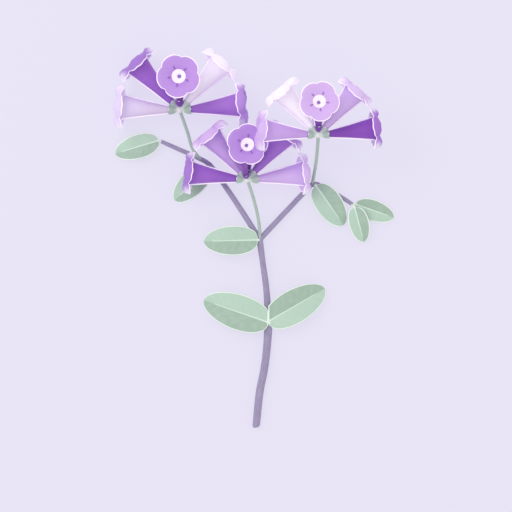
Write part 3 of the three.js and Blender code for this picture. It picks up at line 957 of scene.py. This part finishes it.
# %% [markdown]
# Markings on petals follow the petal, so they need a map of it: U goes once round the flower
# and V is the distance past the rim. The one column of faces where the round closes gets its
# low ends lifted by a full turn, or the whole pattern would be squeezed into it backwards.

# %% Trumpets: the petal map
def map_petals(piece):
    mesh = piece.data
    past_rim = read_note(piece, "past_rim")
    points = points_of(piece)
    corners = np.empty(len(mesh.loops), dtype=np.int32)
    mesh.loops.foreach_get("vertex_index", corners)
    starts = np.empty(len(mesh.polygons), dtype=np.int32)
    counts = np.empty(len(mesh.polygons), dtype=np.int32)
    mesh.polygons.foreach_get("loop_start", starts)
    mesh.polygons.foreach_get("loop_total", counts)
    u = (np.arctan2(points[:, 1], points[:, 0]) / (2 * math.pi) % 1)[corners]
    spread = np.maximum.reduceat(u, starts) - np.minimum.reduceat(u, starts)
    u = u + np.where(np.repeat(spread > 0.5, counts) & (u < 0.5), 1, 0)
    flat_map = mesh.uv_layers.new(name="petal_map")
    both = np.stack([u, past_rim[corners] / 100], axis=1)
    flat_map.data.foreach_set("uv", both.astype(np.float32).ravel())


def make_trumpet(name, out_rows, rim_row, in_rows, ruffle, roundness):
    rows = [*TUBE, *out_rows, rim_row, *in_rows]
    piece = ring_body(name, rows, COLUMNS)
    shape_lobes(piece, rows, len(TUBE) + len(out_rows), ruffle, roundness)
    past_rim = read_note(piece, "past_rim")
    on_tube = smoothstep(past_rim, -80, -70) * (1 - smoothstep(past_rim, -25, -14))
    raise_ribs(piece, on_tube, TUBE_RIB)
    apply_modifier(piece, "SUBSURF", levels=1, render_levels=1)
    bpy.ops.object.shade_smooth()
    map_petals(piece)
    print(name, "faces:", len(piece.data.polygons))
    return piece


curled_trumpet = make_trumpet("curled_trumpet", CURLED_OUT, CURLED_RIM, CURLED_IN, 0.45, 0.6)
flat_trumpet = make_trumpet("flat_trumpet", FLAT_OUT, FLAT_RIM, FLAT_IN, 0.3, 0.45)

# %% [markdown]
# ## Petal colouring
# A petal is darkest at the tube's foot, lighter on the open lobes and nearly white along the
# thin margin. Inside, three fine dark lines on each lobe lead a bee to the white throat. All of
# it is one group over the petal map. Fine veins come from a noise that is stretched along the
# petal and wrapped round a circle, so that it has no seam.

# %% Group: petal colouring
petal, given, result = new_group(
    "petal_colouring",
    [*((title, "Color") for title in ("Foot", "Mouth", "Limb", "Near throat", "Guide")),
     *((title, "Float") for title in ("Throat starts", "Painted sheen on tips", "Throat light", "Faded glow"))],
    [("Color", "Color"), ("Height", "Float"), ("Roughness", "Float"), ("Glow", "Color")],
)
parts = petal.nodes.new("ShaderNodeSeparateXYZ")
map_node = petal.nodes.new("ShaderNodeUVMap")
map_node.uv_map = "petal_map"
petal.links.new(map_node.outputs["UV"], parts.inputs["Vector"])
round_share = parts.outputs["X"]
past_rim = times(petal, parts.outputs["Y"], 100)
off_middle = gap_between(petal, sums(petal, "FRACT", times(petal, round_share, LOBES)), 0.5)
to_throat = sums(petal, "SUBTRACT", given["Throat starts"], past_rim)

angle = times(petal, round_share, 2 * math.pi)
wrapped = petal.nodes.new("ShaderNodeCombineXYZ")
petal.links.new(sums(petal, "COSINE", angle), wrapped.inputs["X"])
petal.links.new(sums(petal, "SINE", angle), wrapped.inputs["Y"])
petal.links.new(times(petal, parts.outputs["Y"], 0.35), wrapped.inputs["Z"])
veining = noise(petal, wrapped.outputs["Vector"], 11, 4, 0.6)
vein = fall_between(petal, gap_between(petal, veining, 0.5), 0.0, 0.07)

colour = blend(petal, rise_between(petal, past_rim, -72, -30), given["Foot"], given["Mouth"])
colour = blend(petal, rise_between(petal, past_rim, -19, -11), colour, given["Limb"])
near_throat = fall_between(petal, to_throat, 1, 8)
colour = blend(petal, near_throat, colour, given["Near throat"])
colour = blend(petal, times(petal, vein, 0.1), colour, given["Near throat"])

# %% Group: petal colouring, guides, throat and margin
spread = sums(petal, "ADD", 0.012, times(petal, to_throat, 0.016))
pair = fall_between(petal, gap_between(petal, off_middle, spread), 0.012, 0.034)
pair = times(petal, pair, fall_between(petal, to_throat, 3.2, 5.2))
middle_line = fall_between(petal, off_middle, 0.008, 0.03)
middle_line = times(petal, middle_line, fall_between(petal, to_throat, 4.4, 6.6))
outside_throat = rise_between(petal, to_throat, 0.2, 0.9)
guide = times(petal, sums(petal, "MAXIMUM", pair, middle_line), outside_throat)
colour = blend(petal, times(petal, guide, 0.9), colour, given["Guide"])
throat = fall_between(petal, to_throat, -0.5, 0.3)
colour = blend(petal, throat, colour, tone("#fdf8fb"))
rim_gap = sums(petal, "ABSOLUTE", past_rim)
off_top = gap_between(petal, sums(petal, "FRACT", round_share), 0.5)
# Painted sheen: the tips of the lobes that don't face up are painted pale, as a sheen on lobes seen edge
# on, and they glow a little.
side_lobe = rise_between(petal, off_top, 0.1, 0.19)
tip = fall_between(petal, rim_gap, 5, 13)
paleness = times(petal, times(petal, side_lobe, tip), given["Painted sheen on tips"])
colour = blend(petal, paleness, colour, tone("#f3ecfa"))
off_rib = gap_between(petal, off_top, 0.25)
rib = fall_between(petal, off_rib, 0.016, 0.026)
on_tube = fall_between(petal, past_rim, -24, -14)
margin = fall_between(petal, rim_gap, 0.8, 1.9)
thin_lines = sums(petal, "MAXIMUM", times(petal, rib, on_tube), margin)
colour = blend(petal, times(petal, thin_lines, 0.9), colour, tone("#fbf1fd"))
lit = sums(petal, "MAXIMUM", times(petal, throat, given["Throat light"]), thin_lines)
lit = sums(petal, "MAXIMUM", lit, times(petal, paleness, 0.5))
# A faded flower glows over its whole petal: a painted glow for light shining through it.
lit = sums(petal, "MAXIMUM", lit, given["Faded glow"])
glow = blend(petal, lit, (0, 0, 0, 1), tone("#fff6fd"))
height = sums(petal, "ADD", times(petal, veining, 0.6), times(petal, vein, -0.4))
matt = sums(petal, "ADD", 0.5, times(petal, veining, 0.2))
give(petal, result, Color=colour, Glow=glow, Height=height, Roughness=matt)
print("group:", petal.name)

# %% [markdown]
# The tones of a petal by its age, from the tube's foot over its mouth to the lobes. The tone
# of a flower is read off between two rows, so its one number is all that a flower needs.
# Petals are thin, and light comes through them: it fills the throat, edges the margin and the
# ribs, and brightens a flower that has faded. These walls are solid, so a weak painted glow in
# those places stands for that light. The lobes of a curled flower that don't face up get pale
# tips, a painted sheen that also glows a little. The throat, the painted sheen on the tips and
# the guides are set for each of the two forms: on a curled flower, seen from the side, the
# guides are half faded.

# %% Petal tones by age
TONES_BY_AGE = [
    (0.0, "#854ab2", "#9153c0", "#a773cf"),
    (0.2, "#945ec3", "#a56bd1", "#a87dd2"),
    (0.35, "#a470cf", "#b17cda", "#c096e4"),
    (0.55, "#c49de2", "#d0aaee", "#d8b6ef"),
    (0.7, "#d3b6ea", "#dfc1f7", "#e0c5f5"),
    (0.85, "#dccbe7", "#e9d9f8", "#e6d5f8"),
    (1.0, "#f7effa", "#fdf7ff", "#f7f0fc"),
]
PETAL_GLOW = 0.22
# Painted shade: a darker tone stands for the shade on the tube under a facing flower's lobes.
TUBE_PAINTED_SHADE = "#7a3ca8"  # the tube under a flower that faces the viewer
GUIDE_FADED = {"curled_trumpet": 0.5, "flat_trumpet": 0.0}
FORM_LOOKS = {
    "curled_trumpet": {"Throat starts": 26.0, "Painted sheen on tips": 0.8, "Throat light": 0.18},
    "flat_trumpet": {"Throat starts": 17.6, "Painted sheen on tips": 0.0, "Throat light": 0.65},
}


def between(share, first, second):
    return tuple((1 - share) * a + share * b for a, b in zip(first, second))


def petal_tones(age):
    ages = [row[0] for row in TONES_BY_AGE]
    found = []
    for column in (1, 2, 3):
        charted = np.array([tone(row[column]) for row in TONES_BY_AGE])
        found.append(tuple(float(np.interp(age, ages, charted[:, k])) for k in range(4)))
    return found


def petal_finish(name, flower, form):
    looks = dict(Specular_IOR_Level=0.25, Sheen_Weight=1.0, Sheen_Roughness=0.3, Sheen_Tint=tone("#fdf4ff"))
    made, tree, sockets = new_material(name, Emission_Strength=PETAL_GLOW, **looks)
    foot, mouth, limb = petal_tones(flower["age"])
    near_throat = between(0.55, mouth, limb)
    # The tube of a facing flower is painted in the painted shade tone.
    if form == "flat_trumpet":
        foot = mouth = tone(TUBE_PAINTED_SHADE)
    values = {"Foot": foot, "Mouth": mouth, "Limb": limb, "Near throat": near_throat}
    values["Guide"] = between(GUIDE_FADED[form], tone("#7b4fa8"), near_throat)
    # The painted glow over a faded flower's whole petal grows with its age.
    values["Faded glow"] = float(np.interp(flower["age"], (0.85, 1.0), (0.0, 0.36)))
    shown = place_group(tree, petal, **values, **FORM_LOOKS[form])
    paint(tree, sockets, shown["Color"], 300, 0.1)
    give(tree, sockets, Roughness=shown["Roughness"], Emission_Color=shown["Glow"])
    bump(tree, sockets, shown["Height"], 0.2, 0.25)
    return made


print("tones of a half faded flower:", [[round(c, 2) for c in t[:3]] for t in petal_tones(0.5)])

# %% Trumpets: fifteen flowers
for umbel, flower in open_flowers():
    form = flat_trumpet if "end_rise" in flower else curled_trumpet
    name = umbel["name"] + "_trumpet_" + flower["name"]
    trumpet = copy_of(form, name)
    trumpet.data.materials.append(petal_finish(name + "_petals", flower, form.name))
    lay_on_axis(trumpet, umbel, flower)
    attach(trumpet, "root")
    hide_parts(umbel["name"] + "_corolla_" + flower["name"])
print("trumpets:", len(open_flowers()))

# %% [markdown]
# ## Pistil and stamens
# In the throat stands one thread-like style with a flattened stigma, and round it four stamens
# in two pairs. The stigma is the violet dot in the white eye of an open flower. The style is
# extruded ring by ring, the filaments are thin rods, and each anther is a small ball stretched
# along the filament. The same short pistil serves both forms of trumpet. In the curled form it
# doesn't reach the floor of the deep throat and hangs free there, which is a fault: it would
# need a longer style, from 17 mm up, and filaments that start on the wall.

# %% Pistil: style and stigma
STYLE = [
    (37, 0.75), (40, 0.6), (44, 0.55), (46, 0.6), (47, 1.0), (47.9, 1.7), (48.6, 2.05),
    (49.2, 1.9), (49.6, 1.2),
]
STIGMA_FROM = 46.6
ANTHER_RADIUS = 0.5


def stamen(bearing, height):
    out = np.array([math.cos(bearing), math.sin(bearing)])
    route = [(*(out * 2.1), 37.5, 0.3), (*(out * 2.5), 40.5, 0.28), (*(out * 2.2), height, 0.2)]
    thread = rod("filament", route, 8, 3)
    bpy.ops.object.select_all(action="DESELECT")
    tip = (out[0] * 2.2 * MM, out[1] * 2.2 * MM, height * MM)
    bpy.ops.mesh.primitive_uv_sphere_add(segments=12, ring_count=8, radius=ANTHER_RADIUS * MM, location=tip)
    bpy.ops.object.transform_apply(location=True, rotation=False, scale=False)
    anther = bpy.context.object
    edit_all(anther)
    bpy.ops.transform.resize(value=(1, 1, 1.9), center_override=tip)
    bpy.ops.object.mode_set(mode="OBJECT")
    bpy.ops.object.shade_smooth()
    return [thread, anther]

# %% Finish: stigma, style and anthers
stigma_finish = plain_finish(
    "stigma", "#9273c2", 1500, 0.5, (0.4, 0.15), Roughness=0.55, Specular_IOR_Level=0.3, Sheen_Weight=0.3
)
thread_finish = plain_finish(
    "style_and_filaments", "#f3ebf5", 900, 0.15, Roughness=0.5, Specular_IOR_Level=0.3
)
anther_finish = plain_finish(
    "anthers", "#f1e7cf", 2500, 0.6, (0.6, 0.1), Roughness=0.8, Specular_IOR_Level=0.2
)

# %% Pistil: assembled once, and copied to fifteen flowers
STYLE_LEAN = 1.9  # how far the stigma of a facing flower stands off the middle

style = ring_body("style", STYLE, 20)
for finish in (stigma_finish, thread_finish):
    style.data.materials.append(finish)
for face in style.data.polygons:
    face.material_index = 0 if face.center.z > STIGMA_FROM * MM else 1
pistil_parts = [style]
for k in range(4):
    thread, anther = stamen(math.radians(45 + 90 * k), 43.5 if k % 2 else 45)
    thread.data.materials.append(thread_finish)
    anther.data.materials.append(anther_finish)
    pistil_parts += [thread, anther]
pistil_form = join(pistil_parts, "pistil_form")

for umbel, flower in open_flowers():
    pistil = copy_of(pistil_form, umbel["name"] + "_stamens_" + flower["name"])
    if "end_rise" in flower:
        points = points_of(pistil)
        points[:, 0] += STYLE_LEAN * smoothstep(points[:, 2], 37, 49)
        move_points(pistil, points)
    lay_on_axis(pistil, umbel, flower)
    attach(pistil, "root")
    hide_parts(umbel["name"] + "_pistil_" + flower["name"])
print("faces in a pistil with its stamens:", len(pistil_form.data.polygons))

# %% [markdown]
# ## Buds
# Behind each facing flower is a bud that hasn't opened: a slim club of folded petals. It is
# extruded like the trumpets, and the five folds are pressed in by a formula that also twists
# them, because the petals of a bud are rolled round each other.

# %% Buds: shape
BUD_ROWS = [
    (7.6, 2.1), (10, 2.9), (13, 3.3), (20, 3.75), (28, 4.5), (33, 5.2), (36, 5.4), (38.5, 5.1),
    (40.6, 4.0), (42, 2.6), (42.6, 1.2),
]
BUD_TWIST = math.radians(2.4)  # per mm along the bud
FOLD_DEPTH = 0.14  # as a share of the radius

bud_form = ring_body("bud_form", BUD_ROWS, 40)
points = points_of(bud_form)
angle = np.arctan2(points[:, 1], points[:, 0]) + BUD_TWIST * points[:, 2]
fold = np.exp(-((np.sin(LOBES / 2 * angle) / 0.22) ** 2)) * smoothstep(points[:, 2], 16, 34)
points[:, :2] *= (1 - FOLD_DEPTH * fold)[:, None]
move_points(bud_form, points)
note_on_points(bud_form, "fold", fold)
note_on_points(bud_form, "height", points[:, 2])
apply_modifier(bud_form, "SUBSURF", levels=2, render_levels=2)
bpy.ops.object.shade_smooth()
print("faces in a bud:", len(bud_form.data.polygons))

# %% Finish: buds
bud_finish, tree, sockets = new_material(
    "bud_petals", Roughness=0.55, Specular_IOR_Level=0.3, Sheen_Weight=0.5, Sheen_Tint=tone("#f6eaff")
)
ripe = blend(tree, rise_between(tree, noted(tree, "height"), 12, 40), tone("#7438a2"), tone("#8e55b8"))
folded = blend(tree, times(tree, noted(tree, "fold"), 0.45), ripe, tone("#c9a2e0"))
toned = paint(tree, sockets, folded, 500, 0.2)
bump(tree, sockets, toned["Mask"], 0.25, 0.25)

# %% [markdown]
# ## Stalks and calyx cups
# A green stalk carries each umbel. At its end sits a pale knob, from which each flower's own
# short stalk grows and widens into a cup, the calyx, with five small teeth. The cup is drawn
# ring by ring, up the outside and down into the hollow that holds the flower's foot.

# %% Stalks: the calyx cup
CUP = [
    (0.4, 1.35), (2.2, 1.45), (3.8, 1.7), (5.4, 2.8), (7.2, 3.85), (9.6, 4.5), (11.6, 4.85),
    (12.9, 5.1, 12.2, 4.85), (13.1, 4.85, 12.3, 4.6), (12.2, 4.45, 11.9, 4.4), (10.4, 3.85),
    (8.6, 3.2), (7.4, 2.6),
]
CUP_ROWS_OUTSIDE = 7  # below the teeth
CUP_RIB = 1.2

cup_form = ring_body("cup_form", CUP, 40)
wide, points, radius, row = match_rows(cup_form, CUP)
tooth = np.abs(np.sin(LOBES / 2 * np.arctan2(points[:, 1], points[:, 0]))) ** 3
points[:, 2] += np.where(radius > 0.1, (wide[row, 0] - wide[row, 2]) * (tooth - 1), 0)
move_points(cup_form, points)
rib = raise_ribs(cup_form, (row < CUP_ROWS_OUTSIDE).astype(float), CUP_RIB)
note_on_points(cup_form, "pale", 1 - smoothstep(points[:, 2], 2.5, 6.5))
note_on_points(cup_form, "rim", np.maximum(smoothstep(points[:, 2], 12.2, 12.8), rib))
apply_modifier(cup_form, "SUBSURF", levels=1, render_levels=1)
bpy.ops.object.shade_smooth()

# %% [markdown]
# The stalks are a soft, slightly uneven sage green, and the knob is nearly white.
# One note on the points, from green to pale, blends the two, so the knob and the feet of the
# cups run into each other. The inner cups of an umbel are flushed with the tone of their
# flower, kept as a colour on their points; the cups of the facing flower and the bud take the
# painted shade tone of a facing flower's tube. Every cup has a pale rim and pale ribs.

# %% Finish: stalks
stalk_finish, tree, sockets = new_material(
    "flower_stalks", Roughness=0.6, Specular_IOR_Level=0.25, Sheen_Weight=0.35, Sheen_Tint=tone("#eef8f0")
)
green = place_group(tree, uneven, Scale=450.0, Amount=0.3, Color=tone("#adc1b5"))
paled = blend(tree, times(tree, noted(tree, "pale"), 0.85), green["Color"], tone("#eff0ef"))
flushed = blend(tree, noted(tree, "tint", "Alpha"), paled, noted(tree, "tint", "Color"))
rimmed = blend(tree, times(tree, noted(tree, "rim"), 0.95), flushed, tone("#f7f6fa"))
give(tree, sockets, Base_Color=rimmed)
bump(tree, sockets, green["Mask"], 0.25, 0.25)

# %% Stalks and buds: three umbels
PEDUNCLE_RADIUS = 1.8
HUB_RADIUS = 3.1
FLUSH = {"face": 1.0, "bud": 1.0, "upper_left": 0.2, "upper_right": 0.2}

for umbel in UMBELS:
    route = [(*p, PEDUNCLE_RADIUS) for p in laid([*umbel["stalk"], umbel["hub"]])]
    peduncle = rod(umbel["name"] + "_peduncle", route, 20)
    parts = [peduncle, ball(placed(umbel["hub"]), HUB_RADIUS * umbel["size"])]
    for part, paleness in zip(parts, (0, 1)):
        nothing = np.zeros(len(part.data.vertices))
        note_on_points(part, "pale", nothing + paleness)
        note_on_points(part, "rim", nothing)
        tint_points(part, "tint", (0, 0, 0), nothing)
    for flower in umbel["flowers"]:
        cup = copy_of(cup_form, umbel["name"] + "_cup_" + flower["name"])
        # The cups of the facing flower and the bud are flushed with the tube's painted shade tone.
        shaded = flower["name"] in ("face", "bud")
        colour = tone(TUBE_PAINTED_SHADE) if shaded else petal_tones(flower["age"])[0]
        share = smoothstep(points_of(cup)[:, 2], 2.5, 5.5) * FLUSH.get(flower["name"], 0)
        tint_points(cup, "tint", colour, share)
        lay_on_axis(cup, umbel, flower, 0.85 if flower["name"] == "bud" else 1.0)
        parts.append(cup)
    for part in parts:
        part.data.materials.clear()
        part.data.materials.append(stalk_finish)
    stalk = join(parts, umbel["name"] + "_green_stalk")
    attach(stalk, "root")
    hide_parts(umbel["name"] + "_stalk")
    bud = copy_of(bud_form, umbel["name"] + "_folded_bud")
    bud.data.materials.append(bud_finish)
    lay_on_axis(bud, umbel, umbel["flowers"][-1])
    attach(bud, "root")
    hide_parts(umbel["name"] + "_bud")
print("umbels:", len(UMBELS))

# %% [markdown]
# ## Last look
# The upright forms were only patterns for the copies, so they are cleared away.

# %% Clear the patterns
for form in (curled_trumpet, flat_trumpet, pistil_form, bud_form, cup_form):
    bpy.data.objects.remove(form)
